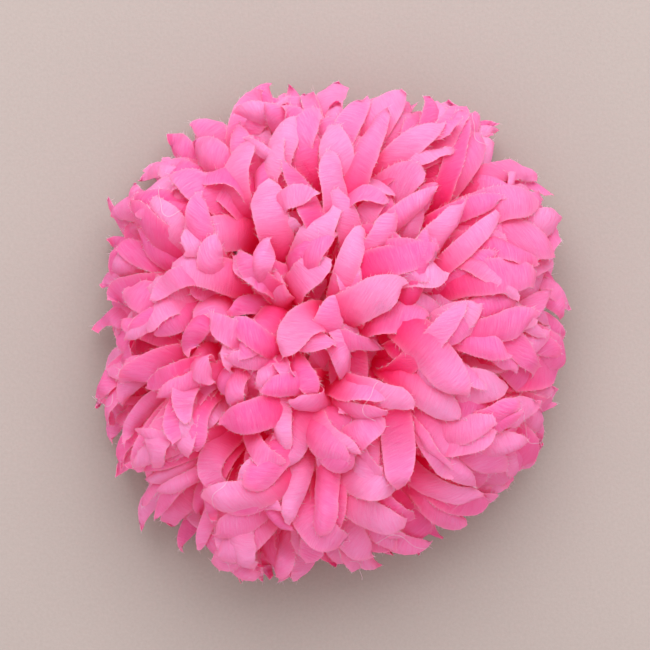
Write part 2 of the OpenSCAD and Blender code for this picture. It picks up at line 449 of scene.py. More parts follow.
@dataclass(frozen=True)
class PlatedFinish:
    """Stamped and plated steel: tumbled, faintly scratched and dulled by handling."""

    name: str = "nickel_plate"
    bright: Colour = (0.80, 0.79, 0.765)
    dull: Colour = (0.60, 0.585, 0.555)
    roughness: float = 0.20
    relief: float = 0.00004

    def material(self) -> bpy.types.Material:
        """Builds the metal's material.

        Returns:
            A material with dull clouds, drawn lines and fine scratches.
        """
        kit = NodeKit(self.name)
        coords = kit.object_coords()
        clouds = kit.noise(coords, 90.0, detail=4.0, rough=0.6)
        along = kit.noise(kit.scaled(coords, (60.0, 1800.0, 1800.0)), 1.0, detail=3.0)
        across = kit.noise(kit.scaled(coords, (1500.0, 90.0, 700.0)), 1.0, detail=2.0)
        scratches = kit.step(across, 0.64, 0.74)
        colour = kit.mix(clouds * 0.7 + scratches * 0.3, self.bright, self.dull)
        rough = self.roughness + clouds * 0.16 + scratches * 0.12
        height = along * 0.35 + clouds * 0.5 - scratches * 0.3
        return kit.finish(kit.surface(Base_Color=colour, Metallic=1.0, Roughness=rough,
                                      Normal=kit.bump(height, self.relief, 0.7)))


@dataclass(frozen=True)
class PaperFinish:
    """Pale warm paper under the object."""

    name: str = "pale_paper"
    colour: Colour = (0.356, 0.305, 0.293)
    darkest: float = 0.86
    relief: float = 0.0001

    def material(self) -> bpy.types.Material:
        """Builds the paper's material.

        Returns:
            A material of fine fibre specks over wide faint clouds.
        """
        kit = NodeKit(self.name)
        coords = kit.object_coords()
        cloud = kit.noise(coords, 18.0, detail=3.0)
        fibre = kit.noise(coords, 1100.0, detail=3.0, rough=0.7)
        darker = tuple(self.darkest * c for c in self.colour)
        speck = (cloud * 0.3 + fibre * 0.7 - 0.5) * 2.0 + 0.5
        colour = kit.mix(kit.clamp(speck), darker, self.colour)
        return kit.finish(kit.surface(Base_Color=colour, Roughness=0.95, Specular_IOR_Level=0.1,
                                      Normal=kit.bump(fibre, self.relief, 0.5)))


# ---------------------------------------------------------------- small geometry helpers


def unit(v: Array) -> Array:
    """Vectors scaled to length 1, along the last axis."""
    return v / np.maximum(np.linalg.norm(v, axis=-1, keepdims=True), TINY)


def smooth(t: Array) -> Array:
    """0 below 0, 1 above 1 and an S-curve between."""
    t = np.clip(t, 0.0, 1.0)
    return t * t * (3.0 - 2.0 * t)


def risen(s: Array, span: tuple[float, float]) -> Array:
    """0 up to where a span starts, 1 from its end on and an S-curve between.

    Args:
        s: Shares of a petal's length.
        span: Where it starts and how long it is.

    Returns:
        The value at each share.
    """
    return smooth((s - span[0]) / span[1])


def node_points(name: str) -> Array:
    """A CAD node's vertices.

    Args:
        name: The node's name.

    Returns:
        Its points, in millimetres.
    """
    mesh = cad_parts[name].data
    co = np.zeros(len(mesh.vertices) * 3)
    mesh.vertices.foreach_get("co", co)
    return co.reshape(-1, 3) / MM


def spaced(path: Array) -> Array:
    """Each point's distance along a path, from 0 at its start."""
    return np.r_[0, np.cumsum(np.linalg.norm(np.diff(path, axis=0), axis=1))]


def tube_faces(rows: int, around: int, flip: bool = False) -> list[tuple[int, ...]]:
    """Faces of rings of vertices that are followed by one vertex for each end.

    Args:
        rows: How many rings there are.
        around: How many vertices a ring has.
        flip: Whether the faces look the other way.

    Returns:
        The vertex numbers of each face.
    """
    faces: list[tuple[int, ...]] = []
    steps = [(j, (j + 1) % around) for j in range(around)]
    for i in range(rows - 1):
        here, there = i * around, (i + 1) * around
        faces += [(here + j, here + k, there + k, there + j) for j, k in steps]
    last, end = (rows - 1) * around, rows * around
    for j, k in steps:
        faces += [(end, k, j), (end + 1, last + j, last + k)]
    return [(face[0], *reversed(face[1:])) for face in faces] if flip else faces


def new_object(name: str, verts: Array, faces: list, material: bpy.types.Material) -> bpy.types.Object:
    """Makes a mesh object at the origin.

    Args:
        name: The piece's name.
        verts: Vertices, in millimetres.
        faces: Lists of vertex numbers.
        material: The piece's finish.

    Returns:
        The new object, linked to the scene.
    """
    mesh = bpy.data.meshes.new(name)
    mesh.from_pydata((verts * MM).tolist(), [], faces)
    mesh.materials.append(material)
    mesh.shade_smooth()
    obj = bpy.data.objects.new(name, mesh)
    bpy.context.scene.collection.objects.link(obj)
    return obj


# ---------------------------------------------------------------- thread and wire


@dataclass(frozen=True)
class Strand:
    """Thread or wire of one radius, in millimetres, drawn as a closed tube."""

    ASIDE = (0.31, 0.17, 0.93)
    radius: float
    sides: int = 6

    def swept(self, path: Array) -> tuple[Array, list[tuple[int, ...]], Array]:
        """Sweeps the round section along a path.

        Args:
            path: The points that the strand's middle follows.

        Returns:
            Its vertices, its faces, and each vertex's UV in millimetres.
        """
        ahead = unit(np.gradient(path, axis=0))
        side = np.zeros_like(path)
        last = np.cross(ahead[0], self.ASIDE)
        for i, a in enumerate(ahead):
            last = unit(last - a * (last @ a))
            side[i] = last
        up = np.cross(ahead, side)
        turn = np.arange(self.sides) * 2 * math.pi / self.sides
        c, s = np.cos(turn)[None, :, None], np.sin(turn)[None, :, None]
        ring = self.radius * (c * side[:, None] + s * up[:, None])
        verts = np.concatenate([(path[:, None] + ring).reshape(-1, 3), path[:1], path[-1:]])
        uv = np.stack(np.broadcast_arrays(spaced(path)[:, None], turn[None, :] * self.radius), axis=-1)
        uv = uv.reshape(-1, 2)
        return verts, tube_faces(len(path), self.sides), np.concatenate([uv, uv[:1], uv[-1:]])

    def piece(self, name: str, paths: Sequence[Array], material: bpy.types.Material) -> bpy.types.Object:
        """Joins several strands into one piece.

        Args:
            name: The piece's name.
            paths: One path for each strand.
            material: Its finish.

        Returns:
            The new object, with its UV map.
        """
        verts, faces, uvs, first = [], [], [], 0
        for path in paths:
            v, f, uv = self.swept(path)
            verts.append(v)
            uvs.append(uv)
            faces += [tuple(first + i for i in face) for face in f]
            first += len(v)
        obj = new_object(name, np.concatenate(verts), faces, material)
        write_uv(obj, np.concatenate(uvs))
        return obj


def write_uv(obj: bpy.types.Object, uvs: Array) -> None:
    """Writes the cloth UV map.

    Args:
        obj: The piece.
        uvs: A UV for each of its vertices, in millimetres.
    """
    mesh = obj.data
    layer = mesh.uv_layers.new(name="cloth")
    corners = np.zeros(len(mesh.loops), int)
    mesh.loops.foreach_get("vertex_index", corners)
    layer.data.foreach_set("uv", uvs[corners].astype(np.float32).ravel())


def eased(points: Sequence[Sequence[float]], count: int) -> Array:
    """A smooth line through points.

    Args:
        points: The points that it goes through.
        count: How many points the line has.

    Returns:
        The line's points.
    """
    p = np.array(points, float)
    p = np.vstack([2 * p[0] - p[1], p, 2 * p[-1] - p[-2]])
    at = np.linspace(0, len(points) - 1 - 1e-6, count)
    i, t = at.astype(int), (at % 1)[:, None]
    a, b, c, d = p[i], p[i + 1], p[i + 2], p[i + 3]
    bend, twist = 2 * a - 5 * b + 4 * c - d, 3 * b - a - 3 * c + d
    return 0.5 * (2 * b + (c - a) * t + bend * t ** 2 + twist * t ** 3)


def turned(points: Array, angle: float) -> Array:
    """Points turned about +Z by an angle in radians."""
    c, s = math.cos(angle), math.sin(angle)
    return points @ np.array([[c, s, 0], [-s, c, 0], [0, 0, 1.0]])


# ---------------------------------------------------------------- petals


class Ring(Enum):
    """The rings of tufts, from the middle of the bloom outwards."""

    CROWN = "crown"
    UPPER = "upper"
    MIDDLE = "middle"
    OUTER = "outer"


@dataclass(frozen=True)
class RingStyle:
    """How the petals of one ring of tufts are cut and laid. Lengths in mm, angles in degrees.

    petals is how many a tuft has, and lean how far their showing part stands up out of the
    dome, at the tuft's edge and at its middle. fan says how far they follow their own tuft
    and not the flow of the whole bloom, start how far from the tuft's middle they begin, and
    crossing is the share that start behind that middle and lie across it. showing is the
    length that shows. droop points the sweep down, and sag is how far a petal may sink onto
    what lies below it. depth is how far under the dome the tips end, and sunk the share that
    end deeper still. roll spreads the turns about a petal's own length, and curl bends its tip
    up, or down where it is below 0.
    """

    petals: int
    lean: tuple[float, float]
    fan: float
    start: float
    crossing: float
    showing: tuple[float, float]
    droop: float
    sag: float
    sunk: float = 0.36
    roll: float = 0.3
    depth: tuple[float, float] = (0.8, 5.4)
    curl: float = -1.1


STYLES = {
    Ring.CROWN: RingStyle(petals=19, lean=(3, 15), fan=0.75, start=17, crossing=0.85,
                          showing=(18, 27), droop=0.0, sag=3),
    Ring.UPPER: RingStyle(petals=21, lean=(6, 28), fan=0.55, start=14, crossing=0.5,
                          showing=(18, 30), droop=0.15, sag=4),
    Ring.MIDDLE: RingStyle(petals=23, lean=(9, 38), fan=0.50, start=13, crossing=0.25,
                           showing=(20, 32), droop=0.35, sag=5, depth=(0.2, 5.6)),
    Ring.OUTER: RingStyle(petals=25, lean=(28, 72), fan=0.40, start=13, crossing=0.1,
                          showing=(24, 34), droop=0.6, sag=6, roll=0.42,
                          depth=(0.0, 7.0), curl=-0.4),
}


@dataclass(frozen=True)
class Flow:
    """The way the petals sweep: out from a source off the middle, and longer on one side.

    They are combed side by side towards +X, and hang towards -Y near the corner of -X and -Y.
    Lengths in mm.
    """

    source: tuple[float, float] = (-11.0, 3.0)
    long_side: float = 0.36
    middle: float = 12.0
    comb: float = 0.85
    comb_from: float = -4.0
    comb_over: float = 40.0
    hang: float = 1.1
    hang_from: tuple[float, float] = (2.0, 12.0)
    hang_over: float = 34.0
    wander: float = 0.25

    def direction(self, place: Array, droop: float) -> Array:
        """The sweep at a place on the dome.

        Args:
            place: A point, in mm.
            droop: How much the sweep points down.

        Returns:
            A direction of length 1.
        """
        x, y = place[0] - self.source[0], place[1] - self.source[1]
        turn = self.wander * math.sin(place[0] * 0.11 + 1.3) * math.cos(place[1] * 0.09 - 0.4)
        c, s = math.cos(turn), math.sin(turn)
        far = max(math.hypot(x, y), 1.0)
        comb = self.comb * self.combed(place)
        hang = self.hang * self.hanging(place)
        return unit(np.array([(c * x - s * y) / far + comb, (s * x + c * y) / far - hang, -droop]))

    def hanging(self, place: Array) -> float:
        """How far the petals at a place hang down the near left side, from 0 to 1."""
        gone = [(start - at) / self.hang_over for start, at in zip(self.hang_from, place)]
        return float(np.prod(smooth(np.array(gone))))

    def combed(self, place: Array) -> float:
        """How far the petals at a place lie side by side, from 0 to 1."""
        return float(smooth(np.array((place[0] - self.comb_from) / self.comb_over)))

    def stretch(self, place: Array) -> float:
        """How much longer than usual the petals are at a place, as a factor."""
        out = max(float(np.hypot(place[0], place[1])), self.middle)
        return 1.0 + self.long_side * float(place[0]) / out


@dataclass(frozen=True)
class TuftPlace:
    """Where a tuft stands, read from its CAD node. Millimetres."""

    FOOT = 1.0
    HEAD = 0.72
    node: str
    ring: Ring
    root: Array
    axis: Array
    reach: float

    @classmethod
    def of(cls, node: str, ring: Ring, middle: Array) -> "TuftPlace":
        """Reads a tuft's root, direction and length from its node.

        Args:
            node: The CAD node's name.
            ring: The ring it belongs to.
            middle: The middle of the cap's base.

        Returns:
            The tuft's place.
        """
        points = node_points(node)
        off = np.linalg.norm(points - middle, axis=1)
        root = points[off < off.min() + cls.FOOT].mean(axis=0)
        away = np.linalg.norm(points - root, axis=1)
        far = points[away > cls.HEAD * away.max()].mean(axis=0)
        return cls(node, ring, root, unit(far - root), float(away.max()))


@dataclass
class Dome:
    """The outer surface that the petal tips reach: a flattened dome with a lobed outline."""

    tips: Array
    top: float
    waist: float = 13.0
    under: float = 13.0
    power: float = 2.35
    shift: tuple[float, float] = (0.1, -0.8)

    def __post_init__(self) -> None:
        """Sorts the outline's tips by their angle round the middle."""
        angles = np.arctan2(self.tips[:, 1], self.tips[:, 0]) % (2 * math.pi)
        order = np.argsort(angles)
        self.angles = angles[order]
        self.reaches = np.hypot(self.tips[:, 0], self.tips[:, 1])[order]
        self.centre = np.array([*self.shift, self.waist])

    def outline(self, angle: Array) -> Array:
        """The outline's radius at an angle, in mm."""
        return np.interp(angle % (2 * math.pi), self.angles, self.reaches, period=2 * math.pi)

    def point(self, direction: Array, depth: float) -> Array:
        """A point below the surface.

        Args:
            direction: The way to it from the centre.
            depth: How far it lies below the surface.

        Returns:
            The point.
        """
        d = unit(direction)
        wide = self.outline(math.atan2(d[1], d[0]))
        tall = self.top - self.waist if d[2] > 0 else self.under
        p = self.power
        r = ((math.hypot(d[0], d[1]) / wide) ** p + (abs(d[2]) / tall) ** p) ** (-1 / p)
        return self.centre + d * (r - depth)


@dataclass(frozen=True)
class PetalCut:
    """One petal's cut: a hand-cut leaf with a narrow base. Millimetres, and shares of them."""

    STRIPS = 0.05
    STRIP_WIDTHS = (3.0, 4.6)
    LEAF_WIDTHS = (5.6, 10.6)
    BASE = 0.17
    length: float
    width: float
    shoulders: tuple[float, float]
    roundness: tuple[float, float]
    point: float
    blunt: float
    skew: float
    slant: float
    grain: float

    @classmethod
    def random(cls, length: float, slim: float, rng: np.random.Generator) -> "PetalCut":
        """A petal of that length, rounded, pointed or cut off square at the tip.

        Args:
            length: The length along its middle.
            slim: Share that the width is reduced to.
            rng: The random source.

        Returns:
            The cut.
        """
        blunt = float(rng.choice([0.0, 0.06, 0.2], p=[0.45, 0.4, 0.15]))
        shoulders = tuple(rng.uniform(0.68, 0.9, 2))
        strip = rng.uniform() < cls.STRIPS
        width = slim * float(rng.uniform(*(cls.STRIP_WIDTHS if strip else cls.LEAF_WIDTHS)))
        return cls(length=length, width=width, shoulders=shoulders,
                   roundness=tuple(rng.uniform(0.42, 0.62, 2)), point=float(rng.uniform(1.6, 2.6)),
                   blunt=blunt, skew=float(rng.normal(0, 0.2)), slant=float(rng.normal(0, 0.9)),
                   grain=float(rng.normal(0.0, 0.5)))

    def side(self, s: Array, which: int) -> Array:
        """Half width along the petal.

        Args:
            s: Shares of its length.
            which: 0 for its left side, 1 for its right.

        Returns:
            The half width at each share.
        """
        shoulder = self.shoulders[which]
        body = self.BASE + (1.0 - self.BASE) * smooth(s / 0.58)
        along = np.clip((s - shoulder) / (1.0 - shoulder), 0.0, 1.0) ** self.point
        end = np.maximum(1.0 - along, 0.001 + self.blunt) ** self.roundness[which]
        return 0.5 * self.width * body * end

    def across(self, s: Array, u: Array) -> Array:
        """Sideways distance of the grid's points from the petal's middle.

        Args:
            s: Each row's share of the length.
            u: Each column's place, from -1 at the left edge to 1 at the right.

        Returns:
            The distances, row by row.
        """
        shift = self.skew * 0.3 * self.width * np.clip((s - 0.6) / 0.4, 0.0, 1.0) ** 1.6
        left, right = self.side(s, 0)[:, None], self.side(s, 1)[:, None]
        return shift[:, None] + np.where(u[None, :] < 0, left, right) * u[None, :]

    def area(self) -> float:
        """The flat area of the cut.

        Returns:
            The area, in square millimetres.
        """
        s = np.linspace(0.0, 1.0, 60)
        both = self.side(s, 0) + self.side(s, 1)
        return float(np.sum((both[1:] + both[:-1]) / 2 * np.diff(s)) * self.length)


class PetalGrid:
    """Rows and columns that every petal's surface is drawn on."""

    ROWS = 17
    COLS = 4
    FINE_ROWS = 64
    FINE_COLS = 16
    THICK = 0.15

    def __init__(self) -> None:
        """Spaces the rows, closer near the tip, and works out the shared faces."""
        t = np.linspace(0.0, 1.0, self.ROWS + 1)
        self.s = 1.0 - (1.0 - t) ** 1.6
        self.u = np.linspace(-1.0, 1.0, self.COLS + 1)
        self.row_mix = self._blend(self.FINE_ROWS, self.ROWS + 1)
        self.col_mix = self._blend(self.FINE_COLS, self.COLS + 1)
        self.fine_s = self.row_mix @ self.s
        self.faces = self._shell_faces()
        self.rim = self._rim_loop()

    @staticmethod
    def _blend(fine: int, coarse: int) -> Array:
        """Weights that spread coarse samples over fine ones.

        Args:
            fine: How many fine samples there are.
            coarse: How many coarse ones.

        Returns:
            A row of weights for each fine sample.
        """
        at = np.linspace(0, coarse - 1, fine)
        low = np.minimum(at.astype(int), coarse - 2)
        mix = np.zeros((fine, coarse))
        mix[np.arange(fine), low] = 1.0 - (at - low)
        mix[np.arange(fine), low + 1] += at - low
        return mix

    def _number(self, row: int, col: int) -> int:
        """A grid point's vertex number on the upper layer."""
        return row * (self.COLS + 1) + col

    def _rim_loop(self) -> list[int]:
        """The way round the petal's edge.

        Returns:
            Vertex numbers of the upper layer, in order.
        """
        rows, cols = self.ROWS, self.COLS
        loop = [self._number(0, c) for c in range(cols + 1)]
        loop += [self._number(r, cols) for r in range(1, rows + 1)]
        loop += [self._number(rows, c) for c in range(cols - 1, -1, -1)]
        return loop + [self._number(r, 0) for r in range(rows - 1, 0, -1)]

    def _shell_faces(self) -> list[tuple[int, ...]]:
        """Faces of the thin closed shell.

        Returns:
            The upper layer and the lower one, and then the rim.
        """
        lower = (self.ROWS + 1) * (self.COLS + 1)
        faces: list[tuple[int, ...]] = []
        for r in range(self.ROWS):
            for c in range(self.COLS):
                quad = (self._number(r, c), self._number(r, c + 1),
                        self._number(r + 1, c + 1), self._number(r + 1, c))
                faces.append(quad)
                faces.append(tuple(lower + v for v in reversed(quad)))
        loop = self._rim_loop()
        for a, b in zip(loop, loop[1:] + loop[:1]):
            faces.append((b, a, lower + a, lower + b))
        return faces


def clear_of_backing(points: Array, clear: float = 30.0, level: float = 14.5) -> Array:
    """Pushes low points outwards, clear of the pin and the clip.

    Args:
        points: Points of a petal, in mm.
        clear: Plan radius that low points are pushed out to.
        level: Height under which points are low.

    Returns:
        The moved points.
    """
    out = np.maximum(np.hypot(points[..., 0], points[..., 1]), 1.0)
    low = smooth((level - points[..., 2]) / 3.0)
    grow = 1.0 + low * (np.maximum(clear, out) / out - 1.0)
    return points * np.stack([grow, grow, np.ones_like(grow)], axis=-1)


@dataclass
class Petal:
    """One petal: its cut, the line it follows and its surface.

    shape holds its own turn, cup, fold, ripple and curl by name, and ragged how far each of
    the grid's points strays. Millimetres and radians. OPENS is where along a petal it starts
    to open from its gathered neck and how long that takes, as shares of its length, and TURNS,
    CURLS and SLANTS are the same for its roll, its curled tip and its slanting end.
    """

    OPENS = (0.25, 0.35)
    TURNS = (0.1, 0.5)
    CURLS = (0.72, 0.5)
    SLANTS = (0.6, 0.4)
    cut: PetalCut
    spine: Array
    up: Array
    shape: dict[str, float]
    tone: float
    sag: float
    ragged: Array
    points: Array = field(default_factory=lambda: np.zeros(0))

    def height(self) -> float:
        """How high the petal's outer half lies, which sets its turn in the laying order."""
        return float(self.spine[len(self.spine) // 2:, 2].mean())

    def drawn(self, grid: PetalGrid) -> Array:
        """The petal's surface on the grid.

        Args:
            grid: The rows and columns to draw on.

        Returns:
            Points of shape (rows, columns, 3), in millimetres.
        """
        s, u, f = grid.s, grid.u, self.shape
        forward = unit(np.gradient(self.spine, axis=0))
        up = unit(self.up - (self.up * forward).sum(axis=1, keepdims=True) * forward)
        side = np.cross(forward, up)
        roll = (f["roll"] * risen(s, self.TURNS) + f["twist"] * (s - 0.6))[:, None]
        side, up = side * np.cos(roll) + up * np.sin(roll), up * np.cos(roll) - side * np.sin(roll)
        opening = risen(s, self.OPENS)[:, None]
        wide = ((self.cut.side(s, 0) + self.cut.side(s, 1)) / self.cut.width)[:, None]
        length = self.cut.length * s[:, None]
        lift = f["cup"] * (u[None, :] ** 2 - 0.3) * wide
        lift += f["fold"] * (0.45 - np.abs(u[None, :] - f["fold_at"])) * wide
        waves = np.where(u[None, :] < 0,
                         np.sin(length / f["wave"] * 2 * math.pi + f["phase"]),
                         np.sin(length / f["wave"] * 2.3 * math.pi + 2.1 * f["phase"]))
        lift += f["ripple"] * np.abs(u[None, :]) ** 1.7 * waves
        lift = lift * opening + f["curl"] * risen(s, self.CURLS)[:, None] * 2.0
        across = self.cut.across(s, u) + self.ragged * np.abs(u[None, :]) ** 3 * opening
        ahead = self.cut.slant * u[None, :] * risen(s, self.SLANTS)[:, None]
        ahead = ahead + self.ragged * opening ** 4
        points = (self.spine[:, None, :] + side[:, None, :] * across[:, :, None]
                  + forward[:, None, :] * ahead[:, :, None] + up[:, None, :] * lift[:, :, None])
        return clear_of_backing(points)


class LyingMap:
    """Height of the topmost petal over each square millimetre of the table.

    GAP is the room between one petal and the next, LIFT the most that a petal is lifted, and
    HIDDEN the share of a petal near its neck that nothing is laid on. FREE and SAGS are where
    along a petal it comes free to move and to sag, and how long that takes. REACH and BLUR
    widen and smooth a move by rows, so that a petal bends and doesn't step.
    """

    HALF = 95
    FLOOR = 0.25
    GAP = 0.75
    LIFT = 7.0
    HIDDEN = 0.36
    FREE = (0.30, 0.30)
    SAGS = (0.5, 0.5)
    REACH = 3
    BLUR = 5

    def __init__(self) -> None:
        """Starts with the bare table."""
        self.height = np.full((2 * self.HALF + 1, 2 * self.HALF + 1), self.FLOOR)

    def _cells(self, points: Array) -> tuple[Array, Array]:
        """Map cells under the points."""
        at = np.clip(np.rint(points[..., :2] + self.HALF).astype(int), 0, 2 * self.HALF)
        return at[..., 0], at[..., 1]

    def over(self, plan: Array) -> Array:
        """Height of what lies at points of the plan."""
        return self.height[self._cells(plan)]

    def lay(self, petal: Petal, grid: PetalGrid) -> None:
        """Lowers or lifts a petal onto what lies below it, and adds it to the map.

        Args:
            petal: The petal, whose points are moved.
            grid: The grid that its points are on.
        """
        fine = np.einsum("ij,jkc,lk->ilc", grid.row_mix, petal.points, grid.col_mix)
        cells = self._cells(fine)
        need = (self.height[cells] + self.GAP - fine[..., 2]).max(axis=1)
        free = risen(grid.fine_s, self.FREE)
        move = np.clip(need, -petal.sag * risen(grid.fine_s, self.SAGS), self.LIFT) * free
        wide = np.max([np.roll(move, k) for k in range(-self.REACH, self.REACH + 1)], axis=0)
        kernel = np.hanning(2 * self.BLUR + 1)
        move = np.convolve(np.pad(wide, self.BLUR, mode="edge"), kernel / kernel.sum(), mode="valid") * free
        rows = np.interp(grid.s, grid.fine_s, move)
        petal.points[..., 2] = np.maximum(petal.points[..., 2] + rows[:, None], self.FLOOR)
        fine = np.einsum("ij,jkc,lk->ilc", grid.row_mix, petal.points, grid.col_mix)
        shown = fine[grid.fine_s > self.HIDDEN]
        np.maximum.at(self.height, self._cells(shown), shown[..., 2])


class PetalMaker:
    """Shapes the petals of each tuft on the dome. Millimetres, degrees and shares.

    SUNK is how much deeper a sunk tip ends, LOWEST how far below level a tip may point, NECK
    how far a petal stays with its tuft's root, and SLIMMED how much narrower hanging petals are.
    """

    GOLDEN = math.pi * (3 - math.sqrt(5))
    LEAN_SPREAD = 6.0
    SUNK = (3.0, 9.0)
    LOWEST = (-0.14, 0.0)
    NECK = 2.0
    SLIMMED = 0.26

    def __init__(self, dome: Dome, flow: Flow, rng: np.random.Generator) -> None:
        """Keeps what the petals are shaped by.

        Args:
            dome: The surface that their tips reach.
            flow: The way they sweep.
            rng: The random source.
        """
        self.dome = dome
        self.flow = flow
        self.rng = rng

    def petals(self, tuft: TuftPlace, grid: PetalGrid) -> list[Petal]:
        """All petals of one tuft.

        Args:
            tuft: The tuft's place.
            grid: The grid that the spines are sampled for.

        Returns:
            The petals, not yet laid on one another.
        """
        style = STYLES[tuft.ring]
        turn = self.rng.uniform(0, 2 * math.pi)
        made = []
        for k in range(style.petals):
            angle = turn + k * self.GOLDEN + self.rng.normal(0, 0.2)
            spread = math.sqrt((k + 0.5) / style.petals)
            made.append(self._petal(tuft, style, angle, spread, grid))
        return made

    def _petal(self, tuft: TuftPlace, style: RingStyle, angle: float, spread: float,
               grid: PetalGrid) -> Petal:
        """One petal of a tuft.

        Args:
            tuft: The tuft's place.
            style: How its ring's petals lie.
            angle: Direction of the petal's start round the tuft's middle, 0 along the sweep.
            spread: Distance from the tuft's middle, from 0 to 1.
            grid: The grid that the spine is sampled for.

        Returns:
            The petal with its spine and its own shape.
        """
        rng, dome = self.rng, self.dome
        centre = unit(tuft.root + tuft.axis * tuft.reach - dome.centre)
        place = dome.point(centre, 0.0)
        radius = float(np.linalg.norm(place - dome.centre))
        sweep = self.flow.direction(place, style.droop)
        sweep = unit(sweep - centre * (sweep @ centre))
        sideways = np.cross(centre, sweep)
        angle = (angle + math.pi) % (2 * math.pi) - math.pi
        combed = self.flow.combed(place)
        lay = (angle * style.fan + rng.normal(0, 0.30)) * (1.0 - 0.5 * combed)
        if rng.uniform() < style.crossing * (1.0 - 0.6 * combed):
            angle = lay + math.pi + rng.normal(0, 0.6)
        start = math.tan(math.radians(style.start * spread))
        offset = (sweep * math.cos(angle) + sideways * math.sin(angle)) * start
        along = sweep * math.cos(lay) + sideways * math.sin(lay)
        showing = rng.uniform(*style.showing) * self.flow.stretch(place)
        lean = np.interp(spread, (0, 1), style.lean[::-1]) + rng.normal(0, self.LEAN_SPREAD)
        lean = math.radians(lean)
        run = math.tan(showing * math.cos(lean) / radius)
        rise = showing * math.sin(lean)
        depth = rng.uniform(*style.depth)
        if rng.uniform() < style.sunk:
            depth += rng.uniform(*self.SUNK)
        begin = dome.point(unit(centre + offset), depth + rise)
        lowest = rng.uniform(*self.LOWEST)
        halfway = self._above(centre + offset + along * run * 0.5, lowest)
        halfway = dome.point(halfway, depth + rise * 0.2 - 1.0)
        tip = dome.point(self._above(centre + offset + along * run, lowest), depth)
        neck = tuft.root + tuft.axis * self.NECK
        controls = np.array([neck, neck + tuft.axis * 0.45 * tuft.reach, begin, halfway, tip])
        spine, length = self._sampled(controls, grid.s)
        up = unit(unit(spine - dome.centre) + np.array([0.0, 0.0, 0.9]))
        slim = 1.0 - self.SLIMMED * self.flow.hanging(place)
        return Petal(PetalCut.random(length, slim, rng), spine, up, self._shape(style),
                     tone=float(rng.uniform(0, 1)), sag=style.sag * float(rng.uniform(0.2, 1.2)),
                     ragged=rng.normal(0, 0.05, (grid.ROWS + 1, grid.COLS + 1)))

    def _shape(self, style: RingStyle) -> dict[str, float]:
        """A petal's own shape.

        Args:
            style: How its ring's petals lie.

        Returns:
            Its turn, cup, fold, ripple and curl by name, in radians and mm.
        """
        rng = self.rng
        return {"roll": rng.normal(0, style.roll), "twist": rng.normal(0, 0.5),
                "cup": rng.normal(-1.2, 0.8), "fold": rng.normal(0.1, 0.5),
                "fold_at": rng.uniform(-0.5, 0.5), "wave": rng.uniform(9, 16),
                "phase": rng.uniform(0, 6.28), "ripple": rng.uniform(0.2, 1.0),
                "curl": rng.normal(style.curl, 1.0)}

    @staticmethod
    def _above(direction: Array, lowest: float) -> Array:
        """A direction that is kept from pointing far down.

        Args:
            direction: The direction.
            lowest: The least that its height may be for a length of 1.

        Returns:
            The direction, turned up where it has to be, with a length of 1.
        """
        d = unit(direction)
        d[2] = max(d[2], lowest)
        return unit(d)

    @staticmethod
    def _sampled(controls: Array, s: Array) -> tuple[Array, float]:
        """Points along a curve with five control points.

        Args:
            controls: The control points.
            s: Shares of the length to sample at.

        Returns:
            The points and the curve's length.
        """
        t = np.linspace(0, 1, 80)[:, None]
        weights = [math.comb(4, k) * (1 - t) ** (4 - k) * t ** k for k in range(5)]
        curve = sum(w * c for w, c in zip(weights, controls))
        steps = spaced(curve)
        at = s * steps[-1]
        return np.stack([np.interp(at, steps, axis) for axis in curve.T], axis=1), float(steps[-1])


@dataclass(frozen=True)
class FrayMaker:
    """Draws the single threads that stand off a petal's cut edge. Millimetres."""

    spacing: float = 0.38
    radius: float = 0.055
    shortest: float = 0.25
    usual: float = 0.42
    longest: float = 2.6
    hidden: float = 0.3

    def hairs(self, petal: Petal, grid: PetalGrid, rng: np.random.Generator) -> Array:
        """Threads of one petal.

        Args:
            petal: The petal, laid in place.
            grid: Its grid.
            rng: The random source.

        Returns:
            Four corner points for each thread, of shape (threads, 4, 3).
        """
        flat = petal.points.reshape(-1, 3)
        loop = np.array(grid.rim)
        loop = loop[grid.s[loop // (grid.COLS + 1)] > self.hidden]
        edge = flat[loop]
        rows, cols = loop // (grid.COLS + 1), loop % (grid.COLS + 1)
        inner = petal.points[np.maximum(rows - 1, 0), np.clip(cols, 1, grid.COLS - 1)]
        steps = spaced(edge)
        count = max(int(steps[-1] / self.spacing), 4)
        at = np.sort(rng.uniform(0, steps[-1], count))

        def along(values: Array) -> Array:
            """What the values on the edge's points are where the threads start."""
            return np.stack([np.interp(at, steps, axis) for axis in values.T], axis=1)

        base = along(edge)
        out = unit(along(edge - inner))
        run = unit(along(np.gradient(edge, axis=0)))
        face = unit(np.cross(out, run))
        aim = out + run * rng.normal(0, 0.75, (count, 1)) + face * rng.normal(0, 0.35, (count, 1))
        aim = unit(aim)
        long = np.minimum(self.shortest + rng.exponential(self.usual, (count, 1)), self.longest)
        base = base - out * 0.1
        a, b = face * self.radius, unit(np.cross(aim, face)) * self.radius
        return np.stack([base + a, base - 0.5 * a + b, base - 0.5 * a - b, base + aim * long], axis=1)


